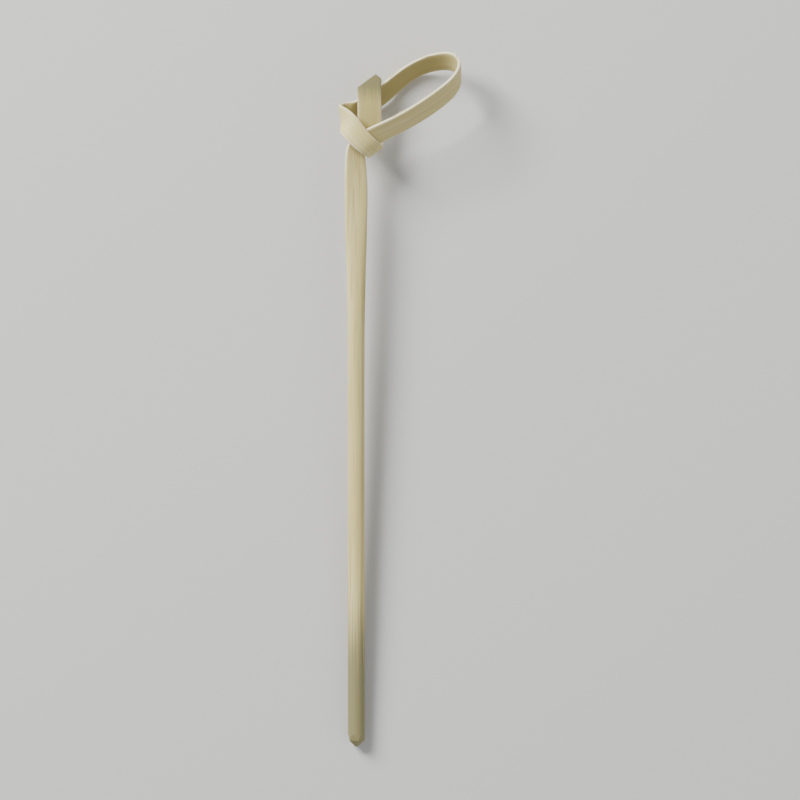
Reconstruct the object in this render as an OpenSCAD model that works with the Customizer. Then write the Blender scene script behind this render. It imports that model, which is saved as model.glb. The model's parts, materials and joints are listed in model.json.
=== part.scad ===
// Knotted bamboo skewer: a round pointed shaft whose upper end is shaved to a flat strip.
// The strip is tied in one overhand knot with a large open loop and a short tail.
// All of it is one piece of bamboo. It lies at rest on its point and on the back of its knot.

/* [Skewer] */
// Length from the point to the top of the loop
overall_length = 90; // [70:1:150]
// Diameter of the round shaft
shaft_diameter = 2.2; // [1.8:0.1:2.8]
// Length over which the shaft turns from round to flat
flattening_length = 24; // [16:1:36]

/* [Point] */
// Length of the cut point
point_length = 1.9; // [1.4:0.1:4]
// Number of knife cuts around the point
point_cuts = 5; // [4:1:8]
// Width of the blunt end that the cuts leave
point_flat = 0.2; // [0.1:0.05:0.4]

/* [Strip] */
// Width of the flat strip
strip_width = 3.1; // [2.7:0.1:3.6]
// Thickness of the strip in the loop and the tail
strip_thickness = 0.5; // [0.35:0.05:0.6]
// Thickness of the strip where it goes into the knot
root_thickness = 0.64; // [0.5:0.02:0.8]

/* [Knot] */
// Distance from the knot to the far end of the loop
loop_length = 16; // [12:0.5:24]
// Width of the loop across its eye
loop_width = 7.2; // [6.4:0.2:10]
// Length of the tail from the last fold to its cut end
tail_length = 10.2; // [7:0.2:16]
// How far the cut of the tail slants across its width
tail_slant = 2.2; // [0:0.1:2.4]
// Gap between passes of the strip in the knot
pass_gap = 0.15; // [0.1:0.05:0.3]

/* [Hidden] */

// The knot frame has its origin in the knot, Y up the shaft, Z to the side of the wrap.
ring_points = 20;
steps_per_station = 4;
shaft_radius = shaft_diameter / 2;
// The strip starts a hair wider than the round shaft, so that it takes the shaft's end in.
collar_rise = 0.01;
collar_overlap = 1;
knot_height = 3;
root_low = -knot_height - flattening_length;
half_width = strip_width / 2;
half_thickness = strip_thickness / 2;
layer = strip_thickness + pass_gap;
round_section = 2;
flat_section = 5;

// The loop's own axes: along its length, across its eye, and through its eye.
loop_lean = 55;
eye_tilt = 45;
loop_along = [sin(loop_lean), cos(loop_lean), 0];
loop_through = [-cos(loop_lean) * cos(eye_tilt), sin(loop_lean) * cos(eye_tilt), sin(eye_tilt)];
loop_across = cross(loop_through, loop_along);
loop_shift = -0.2 * strip_width;
// At the far end of the loop the strip is twisted, so that its width stands more upright.
far_through = [0.04, 0.63, 0.77];

function unit(v) = v / norm(v);
function smooth(f) = f * f * (3 - 2 * f);
function between(a, b, f) = a + (b - a) * f;
function signed_power(v, e) = sign(v) * pow(abs(v), e);

// A station holds the centre, the direction of the strip's width, and the section's
// half width, half thickness and squareness.
function station(centre, width_dir, hw = half_width, ht = half_thickness, sq = flat_section) =
    concat(centre, unit(width_dir), [hw, ht, sq]);

// The shaft is shaved flat over the share f of the flattening length.
function root(f) =
    let (g = max(f, 0))
    station([0, root_low + flattening_length * f, 0], [-1, 0, 0.4 * pow(g, 3)],
        between(shaft_radius + collar_rise, half_width, smooth(g)),
        between(shaft_radius + collar_rise, root_thickness / 2, g),
        between(round_section, flat_section, pow(g, 4)));

// A place in the knot, in strip widths, moved to its layer of the knot.
function knot(x, y, z, pass) = [x * strip_width, y * strip_width, z * strip_width + pass * layer];

// A place on the loop, in shares of its length and width.
function loop(along, across) =
    loop_length * along * loop_along + loop_width * across * loop_across + loop_shift * loop_through;
function on_loop(along, across, twist = 0) =
    station(loop(along, across), between(loop_through, far_through, twist));

// A place on the straight tail, as a share of its length above the fold.
tail_foot = knot(0.58, -0.77, -0.38, -1);
tail_drift = [-0.01, 1, 0.04];
function on_tail(f) = station(tail_foot + tail_length * f * tail_drift, [1, 0, 0.1]);

stations = concat(
    [for (f = [-0.25 : 0.125 : 0.95]) root(f)],
    [
        // The strip turns to the side under the wrap, pinched by the knot.
        station([-0.03 * strip_width, -0.94 * strip_width, 0], [-1, 0.12, 0.38],
            0.445 * strip_width, root_thickness / 2),
        station([-0.05 * strip_width, -0.37 * strip_width, 0], [-0.82, 0.48, 0.42],
            0.39 * strip_width, between(root_thickness, strip_thickness, 0.7) / 2),
        station(knot(0.45, -0.10, 0.03, 0), [-0.52, 0.72, 0.42], 0.44 * strip_width)
    ],
    [
        // Front of the loop, its far end, and its back on the way down to the knot.
        on_loop(0.20, -0.18),
        on_loop(0.34, -0.26),
        on_loop(0.48, -0.31),
        on_loop(0.63, -0.33),
        on_loop(0.77, -0.32, 0.2),
        on_loop(0.89, -0.27, 0.5),
        on_loop(0.98, -0.12, 0.8),
        on_loop(1.01, 0.09, 1),
        on_loop(0.98, 0.30, 1),
        on_loop(0.90, 0.47, 1),
        on_loop(0.79, 0.60, 1),
        on_loop(0.67, 0.67, 0.7),
        on_loop(0.53, 0.65, 0.3),
        on_loop(0.37, 0.58),
        on_loop(0.23, 0.60)
    ],
    [
        // Around the side of the shaft, from the back to the front.
        station(knot(-0.06, 1.08, -0.85, -2), [-0.46, 0.66, 0.59]),
        station(knot(-0.45, 0.95, -0.61, -2), [-0.47, 0.78, 0.42]),
        station(knot(-0.64, 0.85, -0.31, -1), [-0.10, 0.99, 0.07]),
        station(knot(-0.50, 0.75, 0.06, 0), [0.05, 0.97, -0.25], 0.47 * strip_width),
        // The wrap across the front of the knot.
        station(knot(-0.27, 0.46, 0.26, 1), [0.36, 0.88, -0.32], 0.47 * strip_width),
        station(knot(0.02, 0.08, 0.40, 1), [0.51, 0.80, -0.30], 0.47 * strip_width),
        station(knot(0.33, -0.23, 0.38, 1), [0.57, 0.77, -0.26], 0.44 * strip_width),
        // The fold under the front of the loop.
        station(knot(0.62, -0.46, 0.21, 1), [0.64, 0.73, -0.18], 0.41 * strip_width),
        station(knot(0.80, -0.58, 0.05, 0), [0.74, 0.67, -0.02], 0.38 * strip_width),
        station(knot(0.81, -0.58, -0.19, -1), [0.84, 0.54, 0.10], 0.41 * strip_width),
        station(knot(0.70, -0.44, -0.44, -1), [0.94, 0.33, 0.15], 0.47 * strip_width),
        station(knot(0.61, -0.10, -0.47, -1), [0.98, 0.10, 0.15])
    ],
    // The tail goes up through the loop.
    [for (f = [0.33, 0.52, 0.73, 0.99, 1.25]) on_tail(f)]
);

// Cubic blend of four stations at share t of the span between the middle two.
function blend(a, b, c, d, t) =
    let (s = 1 - t)
    (s * s * s * a + (3 * t * t * t - 6 * t * t + 4) * b
        + (3 * s * s * s - 6 * s * s + 4) * c + t * t * t * d) / 6;

last_span = len(stations) - 3;
rings = concat(
    [for (i = [1 : last_span], k = [0 : steps_per_station - 1])
        blend(stations[i - 1], stations[i], stations[i + 1], stations[i + 2], k / steps_per_station)],
    [blend(stations[last_span - 1], stations[last_span], stations[last_span + 1],
        stations[last_span + 2], 1)]
);
last_ring = len(rings) - 1;

function centre(i) = [rings[i][0], rings[i][1], rings[i][2]];
function heading(i) = unit(centre(min(i + 1, last_ring)) - centre(max(i - 1, 0)));
function width_dir(i) =
    let (w = [rings[i][3], rings[i][4], rings[i][5]], t = heading(i))
    unit(w - (w * t) * t);

// The last rings lean over, so that the tail ends in a slanting cut.
slant_rings = 8;
function slant(i) = tail_slant / strip_width * max(0, 1 - (last_ring - i) / slant_rings);

function ring(i) =
    let (
        c = centre(i),
        t = heading(i),
        w = width_dir(i),
        n = cross(t, w),
        power = 2 / rings[i][8],
        corner = between(1 / cos(180 / ring_points), 1, min(1, (rings[i][8] - round_section) * 2))
    )
    [for (j = [0 : ring_points - 1])
        let (
            a = (j + 0.5) * 360 / ring_points,
            u = corner * rings[i][6] * signed_power(cos(a), power),
            v = corner * rings[i][7] * signed_power(sin(a), power)
        )
        c + u * w + v * n + u * slant(i) * t];

skin = [for (i = [0 : last_ring]) each ring(i)];

skin_faces = concat(
    [for (i = [0 : last_ring - 1], j = [0 : ring_points - 1])
        let (k = (j + 1) % ring_points, a = i * ring_points, b = a + ring_points)
        each [[a + j, b + k, a + k], [a + j, b + j, b + k]]],
    [[for (j = [0 : ring_points - 1]) j]],
    [[for (j = [ring_points - 1 : -1 : 0]) last_ring * ring_points + j]]
);

// Lengths along the shaft, from the top of the loop down.
loop_top = max([for (p = skin) p[1]]);
point_y = loop_top - overall_length;
shoulder_y = point_y + point_length;
shaft_top = rings[0][1] + collar_overlap;

// The skewer lies on the shoulder of its point and on the lowest places of its knot.
lie_angle = max([for (p = skin) atan2(-p[2] - shaft_radius, p[1] - shoulder_y)]);
lie_sin = sin(lie_angle);
lie_cos = cos(lie_angle);
laid_y = [for (p = skin) p[1] * lie_cos - p[2] * lie_sin];
rest_shift = [
    -(max([for (p = skin) p[0]]) + min([for (p = skin) p[0]])) / 2,
    -(max(laid_y) + point_y * lie_cos) / 2,
    -(shoulder_y * lie_sin - shaft_radius * lie_cos)
];

// The cuts are flats on two pyramids: a blunt one at the end of the point and a steep one
// behind it, which leans a little, so that its cuts reach up the shaft unevenly.
shaft_length = shaft_top - point_y;
blunt_length = 0.42 * point_length;
blunt_radius = between(point_flat / 2, shaft_radius, 0.75);
steep_rise = (shaft_radius - blunt_radius) / (point_length - blunt_length);
steep_lean = 2;
module flats(foot_radius, rise) {
    corner = 1 / cos(180 / point_cuts);
    reach = shaft_length + shaft_diameter;
    cylinder(h = reach, r1 = foot_radius * corner, r2 = (foot_radius + rise * reach) * corner,
        $fn = point_cuts);
}

module shaft() {
    color("burlywood")
        translate([0, point_y, 0])
            rotate([-90, 0, 0])
                intersection() {
                    cylinder(h = shaft_length, d = shaft_diameter, $fn = 64);
                    flats(point_flat / 2, (blunt_radius - point_flat / 2) / blunt_length);
                    rotate([steep_lean, 0, 0])
                        flats(blunt_radius - steep_rise * blunt_length, steep_rise);
                }
}

module knotted_strip() {
    color("wheat")
        polyhedron(points = skin, faces = skin_faces, convexity = 10);
}

module skewer() {
    translate(rest_shift)
        rotate([lie_angle, 0, 0]) {
            shaft();
            knotted_strip();
        }
}

skewer();
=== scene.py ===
"""Knotted bamboo skewer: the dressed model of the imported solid, lying on a pale table."""
import json
from math import atan2, cos, pi, radians, sin, tau

import bmesh
import bpy
import numpy as np
from bpy.props import FloatProperty, FloatVectorProperty, IntProperty, PointerProperty
from mathutils import Matrix, Vector


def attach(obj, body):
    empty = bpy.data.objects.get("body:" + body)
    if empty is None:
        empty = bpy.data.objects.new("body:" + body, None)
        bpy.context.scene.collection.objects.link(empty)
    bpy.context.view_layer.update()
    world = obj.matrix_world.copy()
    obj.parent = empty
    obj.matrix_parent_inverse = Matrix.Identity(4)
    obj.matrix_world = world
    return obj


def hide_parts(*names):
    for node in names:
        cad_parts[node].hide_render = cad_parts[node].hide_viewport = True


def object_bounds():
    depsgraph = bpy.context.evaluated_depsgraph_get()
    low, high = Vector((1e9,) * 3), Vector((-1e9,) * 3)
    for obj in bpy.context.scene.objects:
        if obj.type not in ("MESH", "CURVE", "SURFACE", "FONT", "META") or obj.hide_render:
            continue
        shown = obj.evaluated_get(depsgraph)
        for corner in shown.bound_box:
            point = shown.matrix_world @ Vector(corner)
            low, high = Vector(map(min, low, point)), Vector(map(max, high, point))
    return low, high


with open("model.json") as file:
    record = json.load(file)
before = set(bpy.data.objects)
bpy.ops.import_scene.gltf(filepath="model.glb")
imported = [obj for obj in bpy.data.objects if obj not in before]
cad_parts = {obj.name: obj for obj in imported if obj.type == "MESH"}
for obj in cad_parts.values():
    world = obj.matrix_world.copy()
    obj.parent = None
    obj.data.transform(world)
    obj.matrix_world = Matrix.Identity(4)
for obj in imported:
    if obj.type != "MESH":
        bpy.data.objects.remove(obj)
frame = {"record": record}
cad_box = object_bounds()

bl_info = {
    "name": "Knotted bamboo skewer",
    "version": (1, 0, 0),
    "blender": (4, 5, 0),
    "location": "3D View > Sidebar > Skewer",
    "description": "Makes a bamboo skewer with a cut point and a knotted, looped end",
    "category": "Object",
}

MM = 0.001


def from_hex(text):
    """Turns an sRGB hex colour into the linear colour, with full cover, that shaders take."""
    shares = [int(text[i:i + 2], 16) / 255 for i in (1, 3, 5)]
    return [*[s / 12.92 if s <= 0.04045 else ((s + 0.055) / 1.055) ** 2.4 for s in shares], 1]


def colour(name, description, text):
    """A colour property whose default is an sRGB hex value."""
    return FloatVectorProperty(
        name=name, description=description, subtype="COLOR", size=4, default=from_hex(text))


def length(name, description, default):
    """A length property in metres."""
    return FloatProperty(name=name, description=description, default=default, unit="LENGTH")


class SkewerSizes(bpy.types.PropertyGroup):
    """Real sizes of the skewer, the same as its solid's."""
    overall_length: length("Overall length", "From the point to the top of the loop", 90 * MM)
    shaft_diameter: length("Shaft diameter", "Thickness of the round shaft", 2.2 * MM)
    flattening_length: length("Flattening", "Stretch where the shaft turns flat", 24 * MM)
    point_length: length("Point length", "Length of the cut point", 1.9 * MM)
    point_cuts: IntProperty(name="Point cuts", description="Knife cuts around the point", default=5)
    point_flat: length("Point flat", "Width of the blunt end", 0.2 * MM)
    strip_width: length("Strip width", "Width of the flat strip", 3.1 * MM)
    strip_thickness: length("Strip thickness", "Thickness in the loop and tail", 0.5 * MM)
    root_thickness: length("Root thickness", "Thickness where it enters the knot", 0.64 * MM)
    loop_length: length("Loop length", "From the knot to the loop's far end", 16 * MM)
    loop_width: length("Loop width", "Width of the loop across its eye", 7.2 * MM)
    tail_length: length("Tail length", "From the last fold to the cut end", 10.2 * MM)
    tail_slant: length("Tail slant", "Rise of the tail's cut across its width", 2.2 * MM)
    pass_gap: length("Pass gap", "Gap between passes in the knot", 0.15 * MM)


class BambooFinish(bpy.types.PropertyGroup):
    """Colours and fibre sizes of split bamboo that has dried in the air."""
    straw: colour("Straw", "Main colour of the split wood", "#cabe85")
    pale: colour("Pale", "Pith between the fibres", "#d6cb99")
    # Painted shade: one face of the strip is darker and more olive, for the shade on the back of the loop,
    # and for the denser skin side.
    skin_side_and_shade: colour("Skin side", "Denser, olive wood of the side next to the skin", "#a89e68")
    fibre: colour("Fibre", "Darker fibre bundles", "#a39060")
    # Painted highlight: the strip's edges and cut faces are lighter, which also stands for bare wood.
    fresh_cut_and_highlight: colour("Fresh cut", "Bare edges left by the knife", "#f4eccd")
    # Darker, grey-olive colour towards the point's end and near the tail's cut.
    darker_ends: colour("Weathered", "Grey-green tint of the exposed ends", "#736f49")
    bundle_spacing: length("Bundle spacing", "Distance between fibre bundles", 0.42 * MM)
    groove_spacing: length("Groove spacing", "Width of the grooves between fibres", 0.2 * MM)
    groove_depth: length("Groove depth", "Depth of the grooves between fibres", 0.03 * MM)
    loose_fibres: IntProperty(name="Loose fibres", description="Fibres along the edges", default=16)
    cut_fibres: IntProperty(name="Cut fibres", description="Fibres at the tail's cut", default=12)
    seed: IntProperty(name="Seed", description="Seed of all that is random", default=7)


class StageSettings(bpy.types.PropertyGroup):
    """Table, lights and camera."""
    table: colour("Table", "Colour of the plain table", "#cacac7")
    table_size: length("Table size", "Side of the square table", 4.0)
    camera_height: length("Camera height", "Height of the camera above the table", 0.6)
    frame_height: length("Frame height", "Height of the picture on the table", 0.104)
    key_power: FloatProperty(name="Key power", description="Power of the main light", default=10.5)
    fill_power: FloatProperty(name="Fill power", description="Power of the fill light", default=1.8)
    sky: FloatProperty(name="Sky", description="Strength of the even light", default=0.37)


# The path rule. The knot frame has its origin in the knot, Y up the shaft, Z to the side
# of the wrap. A station is a row: centre, width direction, half width, half thickness, squareness.
KNOT_HEIGHT = 3 * MM
COLLAR_RISE = 0.01 * MM
ROUND, FLAT = 2, 5
ROOT_STATIONS, ROOT_STEP = 10, 0.125
LOOP_LEAN, EYE_TILT = radians(55), radians(45)
LOOP_SHIFT = -0.2
# At the far end of the loop the strip is twisted, so that its width stands more upright.
FAR_THROUGH = (0.04, 0.63, 0.77)
TAIL_DRIFT = (-0.01, 1, 0.04)
LAST_ON_TAIL = 1.25

# The point: how much of its length the blunt flats take, how much of the shaft's radius they
# leave, and how far the steep flats lean.
BLUNT_SHARE, BLUNT_REACH, STEEP_LEAN = 0.42, 0.75, radians(2)

# The last station lies a step beyond the tail, which sweeps the strip a spare length past its
# cut. The cut rises to a peak at a share of the width from the middle, and falls to the corner.
TAIL_STEP = 2 * MM
TAIL_SPARE = 2.6 * MM
TAIL_PEAK = 0.27
TAIL_CORNER = 0.75

# The ends are darker and grey-olive: all of the point's end of the shaft, fading out up the shaft,
# and a short way down from the tail's cut.
POINT_DARKENED, POINT_FADE, TAIL_FADE = 24 * MM, 16 * MM, 4 * MM

# The mesh: rows to a span of the strip, their distance along the shaft, and points around it.
SPAN_STEPS, SHAFT_STEP, POINTS_AROUND = 16, 0.3 * MM, 88
# A cut reaches the vertices within so many lengths of the point or the spare. It leaves
# slivers, of which those below a size go.
CUT_RANGE = 3
SLIVER = 0.003 * MM

# Loose fibres: their thickness, how far they lean out and up, and the rows before the tail's
# cut where those on the edges end and those at the cut begin and end.
FIBRE_THICKNESS, FIBRE_LEAN_OUT, FIBRE_LEAN_UP = 0.07 * MM, 0.16, 0.12
EDGE_END, CUT_BEGIN, CUT_END = 40, 8, 2

COLUMN_KINDS = {
    "place": "FLOAT_VECTOR",
    "heading": "FLOAT_VECTOR",
    "width_dir": "FLOAT_VECTOR",
    "thick_dir": "FLOAT_VECTOR",
    "half_width": "FLOAT",
    "half_thickness": "FLOAT",
    "squareness": "FLOAT",
    "along": "FLOAT",
    "weathering": "FLOAT",
}


def unit(v):
    v = np.asarray(v, float)
    return v / np.linalg.norm(v)


def smooth(f):
    return f * f * (3 - 2 * f)


def between(a, b, f):
    return a + (b - a) * f


def stations(size):
    """The listed stations of the strip, with one more a step beyond the tail."""
    width, radius = size.strip_width, size.shaft_diameter / 2
    layer = size.strip_thickness + size.pass_gap
    root_low = -KNOT_HEIGHT - size.flattening_length
    along = np.array([sin(LOOP_LEAN), cos(LOOP_LEAN), 0])
    through = np.array([-cos(LOOP_LEAN) * cos(EYE_TILT), sin(LOOP_LEAN) * cos(EYE_TILT), sin(EYE_TILT)])
    across = np.cross(through, along)

    def station(centre, direction, half_width=0.5, thickness=size.strip_thickness, square=FLAT):
        return [*centre, *unit(direction), half_width * width, thickness / 2, square]

    def root(f):
        g = max(f, 0)
        return station(
            [0, root_low + size.flattening_length * f, 0],
            [-1, 0, 0.4 * g ** 3],
            between(radius + COLLAR_RISE, width / 2, smooth(g)) / width,
            between(2 * (radius + COLLAR_RISE), size.root_thickness, g),
            between(ROUND, FLAT, g ** 4))

    def knot(x, y, z, level):
        return np.array([x * width, y * width, z * width + level * layer])

    def on_loop(a, c, twist=0):
        place = size.loop_length * a * along + size.loop_width * c * across
        direction = between(through, np.array(FAR_THROUGH), twist)
        return station(place + LOOP_SHIFT * width * through, direction)

    foot = knot(0.58, -0.77, -0.38, -1)

    def on_tail(f):
        return station(foot + size.tail_length * f * np.array(TAIL_DRIFT), [1, 0, 0.1])

    bend_thickness = between(size.root_thickness, size.strip_thickness, 0.7)
    return np.array([
        *[root(ROOT_STEP * (i - 2)) for i in range(ROOT_STATIONS)],
        # The strip turns to the side under the wrap, pinched by the knot.
        station([-0.03 * width, -0.94 * width, 0], [-1, 0.12, 0.38], 0.445, size.root_thickness),
        station([-0.05 * width, -0.37 * width, 0], [-0.82, 0.48, 0.42], 0.39, bend_thickness),
        station(knot(0.45, -0.10, 0.03, 0), [-0.52, 0.72, 0.42], 0.44),
        # Front of the loop, its far end, and its back on the way down to the knot.
        on_loop(0.20, -0.18),
        on_loop(0.34, -0.26),
        on_loop(0.48, -0.31),
        on_loop(0.63, -0.33),
        on_loop(0.77, -0.32, 0.2),
        on_loop(0.89, -0.27, 0.5),
        on_loop(0.98, -0.12, 0.8),
        on_loop(1.01, 0.09, 1),
        on_loop(0.98, 0.30, 1),
        on_loop(0.90, 0.47, 1),
        on_loop(0.79, 0.60, 1),
        on_loop(0.67, 0.67, 0.7),
        on_loop(0.53, 0.65, 0.3),
        on_loop(0.37, 0.58),
        on_loop(0.23, 0.60),
        # Around the side of the shaft, from the back to the front.
        station(knot(-0.06, 1.08, -0.85, -2), [-0.46, 0.66, 0.59]),
        station(knot(-0.45, 0.95, -0.61, -2), [-0.47, 0.78, 0.42]),
        station(knot(-0.64, 0.85, -0.31, -1), [-0.10, 0.99, 0.07]),
        station(knot(-0.50, 0.75, 0.06, 0), [0.05, 0.97, -0.25], 0.47),
        # The wrap across the front of the knot.
        station(knot(-0.27, 0.46, 0.26, 1), [0.36, 0.88, -0.32], 0.47),
        station(knot(0.02, 0.08, 0.40, 1), [0.51, 0.80, -0.30], 0.47),
        station(knot(0.33, -0.23, 0.38, 1), [0.57, 0.77, -0.26], 0.44),
        # The fold under the front of the loop.
        station(knot(0.62, -0.46, 0.21, 1), [0.64, 0.73, -0.18], 0.41),
        station(knot(0.80, -0.58, 0.05, 0), [0.74, 0.67, -0.02], 0.38),
        station(knot(0.81, -0.58, -0.19, -1), [0.84, 0.54, 0.10], 0.41),
        station(knot(0.70, -0.44, -0.44, -1), [0.94, 0.33, 0.15], 0.47),
        station(knot(0.61, -0.10, -0.47, -1), [0.98, 0.10, 0.15]),
        # The tail goes up through the loop.
        *[on_tail(f) for f in (0.33, 0.52, 0.73, 0.99, LAST_ON_TAIL)],
        on_tail(LAST_ON_TAIL + TAIL_STEP / size.tail_length),
    ])


def blended(rows):
    """Cubic blend of the stations."""
    out = []
    for i in range(1, len(rows) - 2):
        a, b, c, d = rows[i - 1:i + 3]
        for k in range(SPAN_STEPS):
            t = k / SPAN_STEPS
            s = 1 - t
            out.append((s ** 3 * a + (3 * t ** 3 - 6 * t * t + 4) * b
                        + (3 * s ** 3 - 6 * s * s + 4) * c + t ** 3 * d) / 6)
    return np.array(out)


def unit_rows(v):
    return v / np.linalg.norm(v, axis=1)[:, None]


def directions(rows):
    """Heading, width direction and thickness direction at each row."""
    centre = rows[:, :3]
    heading = unit_rows(np.gradient(centre, axis=0))
    tilt = rows[:, 3:6]
    width_dir = unit_rows(tilt - (tilt * heading).sum(1)[:, None] * heading)
    return heading, width_dir, np.cross(heading, width_dir)


def highest(rows):
    """The highest place along Y that the skin round these rows reaches."""
    _, width_dir, thick_dir = directions(rows)
    turn = np.linspace(0, tau, 180)[:, None]
    power = rows[:, 8]
    radius = (abs(np.cos(turn)) ** power + abs(np.sin(turn)) ** power) ** (-1 / power)
    rise = np.cos(turn) * rows[:, 6] * width_dir[:, 1] + np.sin(turn) * rows[:, 7] * thick_dir[:, 1]
    return (rows[:, 1] + radius * rise).max()


def spine(size):
    """Rows along the whole skewer as named columns, from its point to past its tail's cut."""
    strip = blended(stations(size))
    start, radius = strip[0][1], size.shaft_diameter / 2
    point = highest(strip) - size.overall_length
    levels = np.linspace(point, start, int((start - point) / SHAFT_STEP), endpoint=False)
    shaft = np.array([[0, y, 0, -1, 0, 0, radius, radius, ROUND] for y in levels])
    rows = np.vstack([shaft, strip])
    heading, width_dir, thick_dir = directions(rows)
    steps_along = np.linalg.norm(np.diff(rows[:, :3], axis=0), axis=1)
    columns = {
        "place": rows[:, :3],
        "heading": heading,
        "width_dir": width_dir,
        "thick_dir": thick_dir,
        "half_width": rows[:, 6],
        "half_thickness": rows[:, 7],
        "squareness": rows[:, 8],
        "along": np.concatenate([[0], np.cumsum(steps_along)]),
    }
    to_cut = columns["along"][-1] - TAIL_SPARE - columns["along"]
    point_share = np.clip((POINT_DARKENED - columns["along"]) / POINT_FADE, 0, 1)
    columns["weathering"] = np.maximum(point_share, np.clip(1 - to_cut / TAIL_FADE, 0, 1))
    # A ring of no size at each end closes the skin.
    for name, values in columns.items():
        ends = [values[:1], values[-1:]]
        if name.startswith("half"):
            ends = [np.zeros(1), np.zeros(1)]
        columns[name] = np.concatenate([ends[0], values, ends[1]])
    return columns


def to_row_frame(size, columns):
    """Matrix from the knot frame to the row's frame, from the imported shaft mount."""
    mount = next(m for m in frame["record"]["mounts"] if m["name"] == "shaft")
    away = Vector(mount["axis"])
    turned = Matrix.Rotation(atan2(-away.z, -away.y), 4, "X")
    # The mount lies halfway between the shoulder of the point and the start of the strip.
    shoulder = columns["place"][0][1] + size.point_length
    strip_start = -KNOT_HEIGHT - (1 + ROOT_STEP) * size.flattening_length
    middle = turned @ Vector((0, (shoulder + strip_start) / 2, 0))
    return Matrix.Translation(Vector(mount["pos_m"]) - middle) @ turned


def spine_object(columns):
    """A mesh of one vertex for each row, with the columns as its attributes."""
    mesh = bpy.data.meshes.new("spine")
    mesh.from_pydata([tuple(p) for p in columns["place"]], [], [])
    for name, values in columns.items():
        if name == "place":
            continue
        kind = "FLOAT_VECTOR" if values.ndim == 2 else "FLOAT"
        layer = mesh.attributes.new(name, kind, "POINT")
        layer.data.foreach_set("vector" if values.ndim == 2 else "value", values.astype(float).ravel())
    spine_holder = bpy.data.objects.new("spine", mesh)
    bpy.context.scene.collection.objects.link(spine_holder)
    return spine_holder


def add(tree, kind, inputs=None, out=0, **settings):
    """Adds a node with its settings, links or sets its inputs, and returns one of its outputs."""
    node = tree.nodes.new(kind)
    for name, value in settings.items():
        setattr(node, name, value)
    for key, value in (inputs or {}).items():
        socket = next((s for s in node.inputs if s.identifier == key), None) or node.inputs[key]
        if isinstance(value, bpy.types.NodeSocket):
            tree.links.new(value, socket)
        else:
            socket.default_value = value
    return node.outputs[out] if node.outputs else None


def new_tree(name, inputs):
    """A Geometry Nodes tree with a Geometry input and output and the named inputs."""
    tree = bpy.data.node_groups.new(name, "GeometryNodeTree")
    tree.is_modifier = True
    tree.interface.new_socket("Geometry", in_out="INPUT", socket_type="NodeSocketGeometry")
    tree.interface.new_socket("Geometry", in_out="OUTPUT", socket_type="NodeSocketGeometry")
    for label, kind in inputs.items():
        tree.interface.new_socket(label, in_out="INPUT", socket_type="NodeSocket" + kind)
    return tree, tree.nodes.new("NodeGroupInput").outputs


def finish_tree(tree, geometry, material):
    """Ends a tree in real geometry with its material."""
    real = add(tree, "GeometryNodeRealizeInstances", {"Geometry": geometry})
    done = add(tree, "GeometryNodeSetMaterial", {"Geometry": real, "Material": material})
    add(tree, "NodeGroupOutput", {"Geometry": done})


def grown(name, holder, tree, values):
    """Runs a tree on an object, and gives its result as a plain object."""
    modifier = holder.modifiers.new(name, "NODES")
    modifier.node_group = tree
    for item in tree.interface.items_tree:
        if item.in_out == "INPUT" and item.name in values:
            modifier[item.identifier] = values[item.name]
    bpy.context.view_layer.update()
    depsgraph = bpy.context.evaluated_depsgraph_get()
    mesh = bpy.data.meshes.new_from_object(
        holder.evaluated_get(depsgraph), preserve_all_data_layers=True, depsgraph=depsgraph)
    holder.modifiers.remove(modifier)
    # One slot for the whole mesh, so that the faces of later cuts have the material too.
    material = next(m for m in mesh.materials if m)
    mesh.materials.clear()
    mesh.materials.append(material)
    mesh.polygons.foreach_set("material_index", [0] * len(mesh.polygons))
    mesh.name = name
    piece = bpy.data.objects.new(name, mesh)
    bpy.context.scene.collection.objects.link(piece)
    return piece


def rows_at(tree, geometry, index):
    """What the spine's rows hold at an index, by the columns' names."""
    found = {}
    for name, kind in COLUMN_KINDS.items():
        if name == "place":
            value = add(tree, "GeometryNodeInputPosition")
        else:
            value = add(tree, "GeometryNodeInputNamedAttribute", {"Name": name}, data_type=kind)
        found[name] = add(
            tree, "GeometryNodeSampleIndex", {"Geometry": geometry, "Value": value, "Index": index},
            data_type=kind)
    return found


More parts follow.
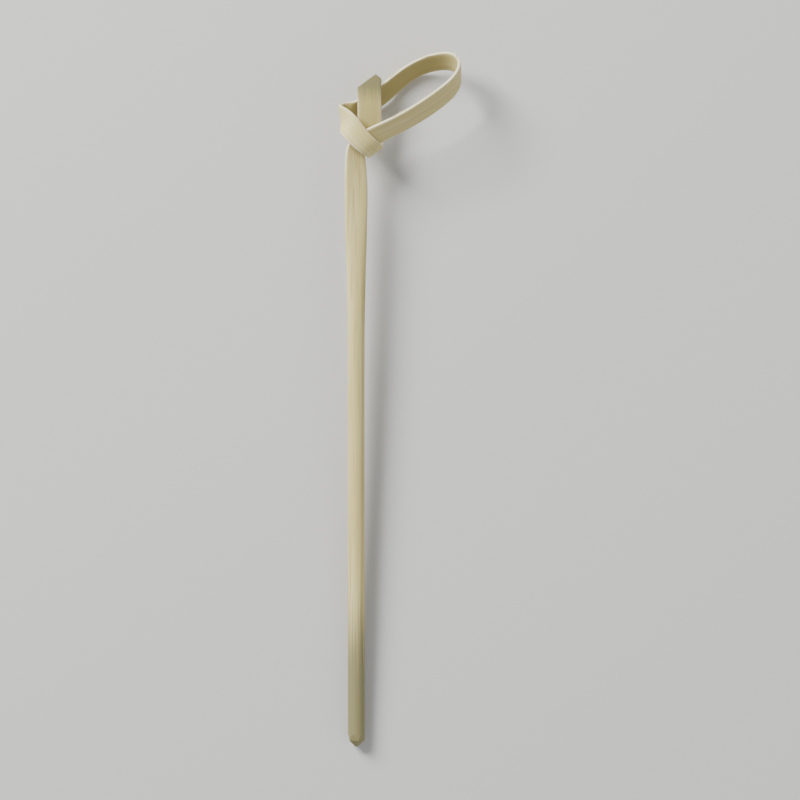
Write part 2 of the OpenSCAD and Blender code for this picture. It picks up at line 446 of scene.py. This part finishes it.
def skin_tree(material):
    """Sweeps a rounded oblong section along the spine's rows and grooves it along its fibres."""
    tree, given = new_tree("Bamboo skin", {
        "Points Around": "Int", "Groove Spacing": "Float", "Groove Depth": "Float",
        "Groove Length": "Float"})
    spine_rows, around = given["Geometry"], given["Points Around"]
    count = add(tree, "GeometryNodeAttributeDomainSize", {"Geometry": spine_rows},
                out="Point Count", component="MESH")
    columns = add(tree, "FunctionNodeIntegerMath", {0: around, 1: 1}, operation="ADD")
    sheet = add(tree, "GeometryNodeMeshGrid", {"Vertices X": count, "Vertices Y": columns})
    index = add(tree, "GeometryNodeInputIndex")
    ring = add(tree, "FunctionNodeIntegerMath", {0: index, 1: columns}, operation="DIVIDE")
    spoke = add(tree, "FunctionNodeIntegerMath", {0: index, 1: columns}, operation="MODULO")
    row = rows_at(tree, spine_rows, ring)
    # The section is a superellipse: its squareness takes it from round to a rounded oblong.
    angle = add(tree, "ShaderNodeMapRange", {"Value": spoke, "From Max": around, "To Max": tau})
    side = add(tree, "ShaderNodeMath", {0: angle}, operation="COSINE")
    face = add(tree, "ShaderNodeMath", {0: angle}, operation="SINE")
    side_size = add(tree, "ShaderNodeMath", {0: side}, operation="ABSOLUTE")
    face_size = add(tree, "ShaderNodeMath", {0: face}, operation="ABSOLUTE")
    side_part = add(tree, "ShaderNodeMath", {0: side_size, 1: row["squareness"]}, operation="POWER")
    face_part = add(tree, "ShaderNodeMath", {0: face_size, 1: row["squareness"]}, operation="POWER")
    bulk = add(tree, "ShaderNodeMath", {0: side_part, 1: face_part}, operation="ADD")
    inverse = add(tree, "ShaderNodeMath", {0: -1.0, 1: row["squareness"]}, operation="DIVIDE")
    radius = add(tree, "ShaderNodeMath", {0: bulk, 1: inverse}, operation="POWER")
    wide = add(tree, "ShaderNodeMath", {0: radius, 1: row["half_width"]}, operation="MULTIPLY")
    thick = add(tree, "ShaderNodeMath", {0: radius, 1: row["half_thickness"]}, operation="MULTIPLY")
    u = add(tree, "ShaderNodeMath", {0: side, 1: wide}, operation="MULTIPLY")
    v = add(tree, "ShaderNodeMath", {0: face, 1: thick}, operation="MULTIPLY")
    beside = add(tree, "ShaderNodeVectorMath", {0: row["width_dir"], 1: u, 2: row["place"]},
                 operation="MULTIPLY_ADD")
    place = add(tree, "ShaderNodeVectorMath", {0: row["thick_dir"], 1: v, 2: beside},
                operation="MULTIPLY_ADD")
    # Fibres run along the path, so a place in the wood is its place in the section and along it.
    fibre_place = add(tree, "ShaderNodeCombineXYZ", {"X": u, "Y": v, "Z": row["along"]})
    # The knife's edges are the outermost parts of the flat section's sides. They get a painted highlight,
    # which also stands for their bare, paler wood.
    reach = add(tree, "ShaderNodeMath", {0: side_size, 1: radius}, operation="MULTIPLY")
    outermost = add(tree, "ShaderNodeMath", {0: reach, 1: 12.0}, operation="POWER")
    cut_edge_highlight = add(tree, "ShaderNodeMapRange", {
        "Value": row["squareness"], "From Min": ROUND, "From Max": FLAT, "To Max": outermost})
    stored = add(tree, "GeometryNodeStoreNamedAttribute",
                 {"Geometry": sheet, "Name": "fibre_place", "Value": fibre_place},
                 data_type="FLOAT_VECTOR", domain="POINT")
    stored = add(tree, "GeometryNodeStoreNamedAttribute",
                 {"Geometry": stored, "Name": "cut_edge_highlight", "Value": cut_edge_highlight},
                 data_type="FLOAT", domain="POINT")
    stored = add(tree, "GeometryNodeStoreNamedAttribute",
                 {"Geometry": stored, "Name": "weathering", "Value": row["weathering"]},
                 data_type="FLOAT", domain="POINT")
    placed = add(tree, "GeometryNodeSetPosition", {"Geometry": stored, "Position": place})
    merged = add(tree, "GeometryNodeMergeByDistance", {"Geometry": placed, "Distance": 1e-7})
    kept = add(tree, "GeometryNodeInputNamedAttribute", {"Name": "fibre_place"},
               data_type="FLOAT_VECTOR")
    groove_size = add(tree, "ShaderNodeCombineXYZ", {
        "X": given["Groove Spacing"], "Y": given["Groove Spacing"], "Z": given["Groove Length"]})
    in_grooves = add(tree, "ShaderNodeVectorMath", {0: kept, 1: groove_size}, operation="DIVIDE")
    noise = add(tree, "ShaderNodeTexNoise", {"Vector": in_grooves, "Scale": 1.0, "Detail": 2.0})
    centred = add(tree, "ShaderNodeMath", {0: noise, 1: 0.5}, operation="SUBTRACT")
    depth = add(tree, "ShaderNodeMath", {0: centred, 1: given["Groove Depth"]}, operation="MULTIPLY")
    normal = add(tree, "GeometryNodeInputNormal")
    shift = add(tree, "ShaderNodeVectorMath", {0: normal, 1: depth}, operation="MULTIPLY")
    grooved = add(tree, "GeometryNodeSetPosition", {"Geometry": merged, "Offset": shift})
    finish_tree(tree, grooved, material)
    return tree


def fibre_tree(material):
    """Lays short tapered fibres on the strip's edges or across it, rising a little from it."""
    tree, given = new_tree("Loose fibres", {
        "Count": "Int", "First Row": "Int", "Last Row": "Int", "Spread": "Float",
        "Thickness": "Float", "Shortest": "Float", "Longest": "Float", "Seed": "Int"})
    seeds = [
        add(tree, "FunctionNodeIntegerMath", {0: given["Seed"], 1: i}, operation="ADD")
        for i in range(5)]
    index = add(tree, "FunctionNodeRandomValue", {
        "Min_002": given["First Row"], "Max_002": given["Last Row"], "Seed": seeds[0]},
        out=2, data_type="INT")
    row = rows_at(tree, given["Geometry"], index)
    share = add(tree, "FunctionNodeRandomValue", {"Min_001": -0.97, "Max_001": 0.97, "Seed": seeds[1]},
                out=1, data_type="FLOAT")
    edge = add(tree, "ShaderNodeMath", {0: share}, operation="SIGN")
    # No spread keeps the fibres on the two edges, full spread lays them over the whole width.
    side = add(tree, "ShaderNodeMix", {
        "Factor_Float": given["Spread"], "A_Float": edge, "B_Float": share}, data_type="FLOAT")
    u = add(tree, "ShaderNodeMath", {0: side, 1: row["half_width"]}, operation="MULTIPLY")
    level = add(tree, "FunctionNodeRandomValue", {"Min_001": -0.7, "Max_001": 0.7, "Seed": seeds[2]},
                out=1, data_type="FLOAT")
    v = add(tree, "ShaderNodeMath", {0: level, 1: row["half_thickness"]}, operation="MULTIPLY")
    beside = add(tree, "ShaderNodeVectorMath", {0: row["width_dir"], 1: u, 2: row["place"]},
                 operation="MULTIPLY_ADD")
    place = add(tree, "ShaderNodeVectorMath", {0: row["thick_dir"], 1: v, 2: beside},
                operation="MULTIPLY_ADD")
    lean_out = add(tree, "ShaderNodeMath", {0: side, 1: FIBRE_LEAN_OUT}, operation="MULTIPLY")
    lean_up = add(tree, "FunctionNodeRandomValue", {
        "Min_001": -FIBRE_LEAN_UP, "Max_001": FIBRE_LEAN_UP, "Seed": seeds[3]},
        out=1, data_type="FLOAT")
    outward = add(tree, "ShaderNodeVectorMath", {0: row["width_dir"], 1: lean_out, 2: row["heading"]},
                  operation="MULTIPLY_ADD")
    direction = add(tree, "ShaderNodeVectorMath", {0: row["thick_dir"], 1: lean_up, 2: outward},
                    operation="MULTIPLY_ADD")
    points = add(tree, "GeometryNodePoints", {"Count": given["Count"], "Position": place})
    turn = add(tree, "FunctionNodeAlignRotationToVector", {"Vector": direction}, axis="Z")
    size = add(tree, "FunctionNodeRandomValue", {
        "Min_001": given["Shortest"], "Max_001": given["Longest"], "Seed": seeds[4]},
        out=1, data_type="FLOAT")
    # One fibre is 1 long, and bends away a little towards its tip.
    line = add(tree, "GeometryNodeCurveQuadraticBezier", {
        "Resolution": 5, "Start": (0, 0, -0.15), "Middle": (0, 0, 0.5), "End": (0.09, 0, 1)})
    share_along = add(tree, "GeometryNodeSplineParameter", out="Factor")
    taper = add(tree, "ShaderNodeMapRange", {"Value": share_along, "To Min": 1.0, "To Max": 0.15})
    thinned = add(tree, "GeometryNodeSetCurveRadius", {"Curve": line, "Radius": taper})
    ring = add(tree, "GeometryNodeCurvePrimitiveCircle", {"Resolution": 5, "Radius": 0.5})
    thin = add(tree, "ShaderNodeMath", {0: given["Thickness"], 1: given["Longest"]}, operation="DIVIDE")
    scale = add(tree, "ShaderNodeCombineXYZ", {"X": thin, "Y": thin, "Z": 1.0})
    profile = add(tree, "GeometryNodeTransform", {"Geometry": ring, "Scale": scale})
    fibre = add(tree, "GeometryNodeCurveToMesh", {
        "Curve": thinned, "Profile Curve": profile, "Fill Caps": True})
    laid = add(tree, "GeometryNodeInstanceOnPoints", {
        "Points": points, "Instance": fibre, "Rotation": turn, "Scale": size})
    finish_tree(tree, laid, material)
    return tree


def knife_cut(shape, near, place, outward):
    """Cuts what lies beyond a plane off the vertices that are near, and closes the cut flat."""
    verts = [v for v in shape.verts if near(v)]
    # The set is only looked up in, because its own order changes from run to run.
    chosen = set(verts)
    edges = [e for e in shape.edges if chosen.issuperset(e.verts)]
    faces = [f for f in shape.faces if chosen.issuperset(f.verts)]
    cut = bmesh.ops.bisect_plane(
        shape, geom=[*verts, *edges, *faces], plane_co=place, plane_no=outward, clear_outer=True)
    rim = [e for e in cut["geom_cut"] if isinstance(e, bmesh.types.BMEdge) and e.is_boundary]
    made = bmesh.ops.edgeloop_fill(shape, edges=rim)["faces"]
    for face in made:
        face.smooth = False
    for edge in rim:
        edge.smooth = False
    return made


def point_planes(size):
    """The flats of the point as pairs of place and outward normal, in the shaft's own frame."""
    tip_radius, radius = size.point_flat / 2, size.shaft_diameter / 2
    blunt_length = BLUNT_SHARE * size.point_length
    blunt_radius = between(tip_radius, radius, BLUNT_REACH)
    blunt_rise = (blunt_radius - tip_radius) / blunt_length
    steep_rise = (radius - blunt_radius) / (size.point_length - blunt_length)
    # The shaft's own axis becomes the knot frame's Y.
    upright = Matrix.Rotation(-pi / 2, 3, "X")
    pyramids = (
        (tip_radius, blunt_rise, 0),
        (blunt_radius - steep_rise * blunt_length, steep_rise, STEEP_LEAN),
    )
    for foot, rise, lean in pyramids:
        turned = Matrix.Rotation(lean, 3, "X")
        for i in range(size.point_cuts):
            around = (i + 0.5) * tau / size.point_cuts
            side = Vector((cos(around), sin(around), 0))
            outward = Vector((side.x, side.y, -rise)).normalized()
            yield upright @ turned @ (side * foot), upright @ turned @ outward


def cut_skin(piece, size, columns):
    """Cuts the point's flats and the tail's slanting, peaked end, and turns the faces outwards."""
    shape = bmesh.new()
    shape.from_mesh(piece.data)
    for face in shape.faces:
        face.smooth = True
    along = shape.verts.layers.float_vector["fibre_place"]
    highlight_layer = shape.verts.layers.float["cut_edge_highlight"]
    point = Vector(columns["place"][0])
    for place, outward in point_planes(size):
        knife_cut(shape, lambda v: v[along].z < CUT_RANGE * size.point_length, point + place, outward)
    row = int(np.searchsorted(columns["along"], columns["along"][-1] - TAIL_SPARE))
    centre = Vector(columns["place"][row])
    heading, width_dir = Vector(columns["heading"][row]), Vector(columns["width_dir"][row])
    slope = size.tail_slant / size.strip_width
    peak = centre + TAIL_PEAK * size.strip_width * (width_dir + slope * heading)
    near_end = columns["along"][-1] - CUT_RANGE * TAIL_SPARE
    cuts = [
        *knife_cut(shape, lambda v: v[along].z > near_end, centre, heading - slope * width_dir),
        *knife_cut(shape, lambda v: v[along].z > near_end, peak, heading + TAIL_CORNER * width_dir),
    ]
    # The cut faces get the full painted highlight of the edges.
    for face in cuts:
        for vert in face.verts if face.is_valid else ():
            vert[highlight_layer] = 1
    # Slivers that the cuts leave next to the mesh's own edges go.
    bmesh.ops.dissolve_degenerate(shape, dist=SLIVER, edges=shape.edges)
    bmesh.ops.recalc_face_normals(shape, faces=shape.faces)
    shape.to_mesh(piece.data)
    shape.free()


def shader(name):
    """A new material, its tree and its Principled shader."""
    material = bpy.data.materials.new(name)
    material.use_nodes = True
    return material, material.node_tree, material.node_tree.nodes["Principled BSDF"]


def along_fibres(tree, place, across, lengthwise, detail):
    """Noise drawn out along the fibres, from its size across and along them in metres."""
    drawn_out = add(tree, "ShaderNodeMapping", {
        "Vector": place, "Scale": (1 / across, 1 / across, 1 / lengthwise)})
    return add(tree, "ShaderNodeTexNoise", {
        "Vector": drawn_out, "Scale": 1.0, "Detail": detail, "Roughness": 0.6})


def split_bamboo(finish):
    """Air-dried bamboo, split and shaved with a knife: dry, straw-coloured, straight-grained.

    The knife leaves it matt with a faint sheen. Bundles of fibre show as fine darker lines
    along it, its edges and cut faces carry a painted highlight that also stands for bare wood, one face
    carries painted shade, and its ends are darker and grey-olive.
    """
    material, tree, surface = shader("split_bamboo")
    place = add(tree, "ShaderNodeAttribute", out="Vector", attribute_name="fibre_place")
    edge = add(tree, "ShaderNodeAttribute", out="Fac", attribute_name="cut_edge_highlight")
    exposed = add(tree, "ShaderNodeAttribute", out="Fac", attribute_name="weathering")
    # Broad changes of tone lie millimetres apart across the fibres and run for centimetres.
    broad = along_fibres(tree, place, 1.6 * MM, 24 * MM, 2.0)
    paleness = add(tree, "ShaderNodeMapRange", {"Value": broad, "From Min": 0.35, "From Max": 0.7},
                   interpolation_type="SMOOTHSTEP")
    pith = add(tree, "ShaderNodeMix", {
        "Factor_Float": paleness, "A_Color": finish.straw, "B_Color": finish.pale},
        out=2, data_type="RGBA")
    # Painted shade: one face of the strip is darker and more olive, so that the back of the loop looks
    # shaded; it also stands for the denser wood of the side that lay nearer the culm's skin.
    through = add(tree, "ShaderNodeSeparateXYZ", {"Vector": place}, out="Y")
    skin_and_shade_share = add(tree, "ShaderNodeMapRange", {
        "Value": through, "From Min": 0.25 * MM, "From Max": -0.25 * MM, "To Max": 0.85})
    tone = add(tree, "ShaderNodeMix", {
        "Factor_Float": skin_and_shade_share, "A_Color": pith, "B_Color": finish.skin_side_and_shade},
        out=2, data_type="RGBA")
    # Bundles stand as far apart as in the outer third of a culm.
    bundles = along_fibres(tree, place, finish.bundle_spacing / 2, 16 * MM, 2.0)
    lines = add(tree, "ShaderNodeMapRange", {
        "Value": bundles, "From Min": 0.52, "From Max": 0.68, "To Max": 0.6})
    lined = add(tree, "ShaderNodeMix", {
        "Factor_Float": lines, "A_Color": tone, "B_Color": finish.fibre},
        out=2, data_type="RGBA")
    # Single fibres are a tenth of a millimetre thick.
    fine = along_fibres(tree, place, 0.11 * MM, 6 * MM, 4.0)
    contrast = add(tree, "ShaderNodeMapRange", {"Value": fine, "From Min": 0.3, "From Max": 0.7})
    fine_tone = add(tree, "ShaderNodeMix", {
        "Factor_Float": contrast, "A_Color": finish.fibre, "B_Color": finish.pale},
        out=2, data_type="RGBA")
    streaked = add(tree, "ShaderNodeMix", {
        "Factor_Float": 0.4, "A_Color": lined, "B_Color": fine_tone},
        out=2, data_type="RGBA", blend_type="SOFT_LIGHT")
    # Painted highlight on the edges and cut faces, which also stands for their bare, paler wood.
    highlight_and_bareness = add(tree, "ShaderNodeMath", {0: edge, 1: 0.65}, operation="MULTIPLY")
    trimmed = add(tree, "ShaderNodeMix", {
        "Factor_Float": highlight_and_bareness, "A_Color": streaked, "B_Color": finish.fresh_cut_and_highlight},
        out=2, data_type="RGBA")
    # The darkening is uneven: it reaches further along some bundles than along others.
    uneven = add(tree, "ShaderNodeMath", {0: bundles, 1: 0.9, 2: exposed}, operation="MULTIPLY_ADD")
    darkening = add(tree, "ShaderNodeMapRange", {
        "Value": uneven, "From Min": 0.6, "From Max": 1.3, "To Max": 0.88},
        interpolation_type="SMOOTHSTEP")
    coloured = add(tree, "ShaderNodeMix", {
        "Factor_Float": darkening, "A_Color": trimmed, "B_Color": finish.darker_ends},
        out=2, data_type="RGBA")
    rough = add(tree, "ShaderNodeMapRange", {
        "Value": fine, "From Min": 0.3, "From Max": 0.7, "To Min": 0.5, "To Max": 0.68})
    relief = add(tree, "ShaderNodeMath", {0: bundles, 1: 0.6, 2: fine}, operation="MULTIPLY_ADD")
    bump = add(tree, "ShaderNodeBump", {"Height": relief, "Distance": 0.03 * MM, "Strength": 0.7})
    tree.links.new(coloured, surface.inputs["Base Color"])
    tree.links.new(rough, surface.inputs["Roughness"])
    tree.links.new(bump, surface.inputs["Normal"])
    surface.inputs["IOR"].default_value = 1.5
    surface.inputs["Sheen Weight"].default_value = 0.08
    return material


def bare_fibre(finish):
    """Single bamboo fibres that the knife has lifted: paler and drier than the strip."""
    material, tree, surface = shader("bare_bamboo_fibre")
    place = add(tree, "ShaderNodeTexCoord", out="Object")
    speckle = add(tree, "ShaderNodeTexNoise", {"Vector": place, "Scale": 1 / (0.5 * MM)})
    tone = add(tree, "ShaderNodeMix", {
        "Factor_Float": speckle, "A_Color": finish.straw, "B_Color": finish.fresh_cut_and_highlight},
        out=2, data_type="RGBA")
    tree.links.new(tone, surface.inputs["Base Color"])
    surface.inputs["Roughness"].default_value = 0.7
    return material


def matt_card(settings):
    """Matt white card: even, with a tooth too fine to see as more than a soft surface."""
    material, tree, surface = shader("matt_card")
    place = add(tree, "ShaderNodeTexCoord", out="Object")
    tooth = add(tree, "ShaderNodeTexNoise", {"Vector": place, "Scale": 1 / (2 * MM)})
    bump = add(tree, "ShaderNodeBump", {"Height": tooth, "Distance": 0.02 * MM, "Strength": 0.2})
    tree.links.new(bump, surface.inputs["Normal"])
    surface.inputs["Base Color"].default_value = settings.table
    surface.inputs["Roughness"].default_value = 0.9
    return material


def declare(piece, *nodes):
    """Says what a finished piece rides on and stands for."""
    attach(piece, "root")
    if nodes:
        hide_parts(*nodes)


class SKEWER_OT_skin(bpy.types.Operator):
    """Makes the whole skewer as one skin, from the cut point to the tail's cut"""
    bl_idname = "skewer.skin"
    bl_label = "Skewer"

    def execute(self, context):
        size, finish = context.scene.skewer_sizes, context.scene.bamboo_finish
        columns = spine(size)
        holder = spine_object(columns)
        tree = skin_tree(split_bamboo(finish))
        piece = grown("knotted_skewer", holder, tree, {
            "Points Around": POINTS_AROUND,
            "Groove Spacing": finish.groove_spacing,
            "Groove Depth": finish.groove_depth,
            "Groove Length": 12 * MM,
        })
        bpy.data.objects.remove(holder)
        cut_skin(piece, size, columns)
        piece.data.transform(to_row_frame(size, columns))
        declare(piece, "skewer")
        return {"FINISHED"}


class SKEWER_OT_fibres(bpy.types.Operator):
    """Lifts loose fibres along the strip's edges and at the tail's cut"""
    bl_idname = "skewer.fibres"
    bl_label = "Loose fibres"

    def execute(self, context):
        size, finish = context.scene.skewer_sizes, context.scene.bamboo_finish
        columns = spine(size)
        holder = spine_object(columns)
        tree = fibre_tree(bare_fibre(finish))
        flat = int(np.argmax(columns["squareness"] > FLAT - 0.5))
        cut = int(np.searchsorted(columns["along"], columns["along"][-1] - TAIL_SPARE))
        groups = {
            "edge_fibres": (finish.loose_fibres, flat, cut - EDGE_END, 0.0, 0.5 * MM, 1.5 * MM),
            "cut_fibres": (
                finish.cut_fibres, cut - CUT_BEGIN, cut - CUT_END, 1.0, 0.3 * MM, 0.8 * MM),
        }
        for name, (count, first, last, spread, shortest, longest) in groups.items():
            piece = grown(name, holder, tree, {
                "Count": count,
                "First Row": first,
                "Last Row": last,
                "Spread": spread,
                "Thickness": FIBRE_THICKNESS,
                "Shortest": shortest,
                "Longest": longest,
                "Seed": finish.seed,
            })
            piece.data.transform(to_row_frame(size, columns))
            declare(piece)
        bpy.data.objects.remove(holder)
        return {"FINISHED"}


class SKEWER_OT_stage(bpy.types.Operator):
    """Makes the pale table, the soft lights and the camera that looks down on it"""
    bl_idname = "skewer.stage"
    bl_label = "Table, lights and camera"

    def execute(self, context):
        settings = context.scene.skewer_stage
        half = settings.table_size / 2
        mesh = bpy.data.meshes.new("table")
        mesh.from_pydata([(-half, -half, 0), (half, -half, 0), (half, half, 0), (-half, half, 0)],
                         [], [(0, 1, 2, 3)])
        table = bpy.data.objects.new("table", mesh)
        context.scene.collection.objects.link(table)
        mesh.materials.append(matt_card(settings))
        low, high = cad_box
        middle = (low + high) / 2
        lights = {
            # The main light is beyond the loop and to the left, as in the photograph.
            "key": (Vector((-0.4, 0.42, 0.38)), 0.3, settings.key_power),
            "fill": (Vector((0.5, -0.3, 0.45)), 0.6, settings.fill_power),
        }
        for name, (place, side, power) in lights.items():
            lamp = bpy.data.lights.new(name, "AREA")
            lamp.size, lamp.energy = side, power
            holder = bpy.data.objects.new(name, lamp)
            holder.location = place
            holder.rotation_euler = (middle - place).to_track_quat("-Z", "Y").to_euler()
            context.scene.collection.objects.link(holder)
        world = context.scene.world or bpy.data.worlds.new("sky")
        context.scene.world = world
        world.use_nodes = True
        background = world.node_tree.nodes["Background"]
        background.inputs["Color"].default_value = (1, 1, 1, 1)
        background.inputs["Strength"].default_value = settings.sky
        lens = bpy.data.cameras.new("camera")
        lens.lens = lens.sensor_width * settings.camera_height / settings.frame_height
        camera = bpy.data.objects.new("camera", lens)
        camera.location = (middle.x, middle.y, settings.camera_height)
        context.scene.collection.objects.link(camera)
        context.scene.camera = camera
        return {"FINISHED"}


class SKEWER_PT_panel(bpy.types.Panel):
    """Lists the steps that make the skewer and its sizes and finish"""
    bl_idname = "SKEWER_PT_panel"
    bl_label = "Knotted skewer"
    bl_space_type = "VIEW_3D"
    bl_region_type = "UI"
    bl_category = "Skewer"

    def draw(self, context):
        layout = self.layout
        for step in STEPS:
            layout.operator(step.bl_idname)
        for group in (context.scene.skewer_sizes, context.scene.bamboo_finish, context.scene.skewer_stage):
            box = layout.box()
            for name in group.__annotations__:
                box.prop(group, name)


STEPS = (SKEWER_OT_stage, SKEWER_OT_skin, SKEWER_OT_fibres)
GROUPS = {"skewer_sizes": SkewerSizes, "bamboo_finish": BambooFinish, "skewer_stage": StageSettings}


def register():
    for kind in (*GROUPS.values(), *STEPS, SKEWER_PT_panel):
        bpy.utils.register_class(kind)
    for name, kind in GROUPS.items():
        setattr(bpy.types.Scene, name, PointerProperty(type=kind))


def unregister():
    for name in GROUPS:
        delattr(bpy.types.Scene, name)
    for kind in (SKEWER_PT_panel, *reversed(STEPS), *reversed(GROUPS.values())):
        bpy.utils.unregister_class(kind)


def main():
    register()
    bpy.ops.skewer.stage()
    bpy.ops.skewer.skin()
    bpy.ops.skewer.fibres()


if __name__ == "__main__":
    main()
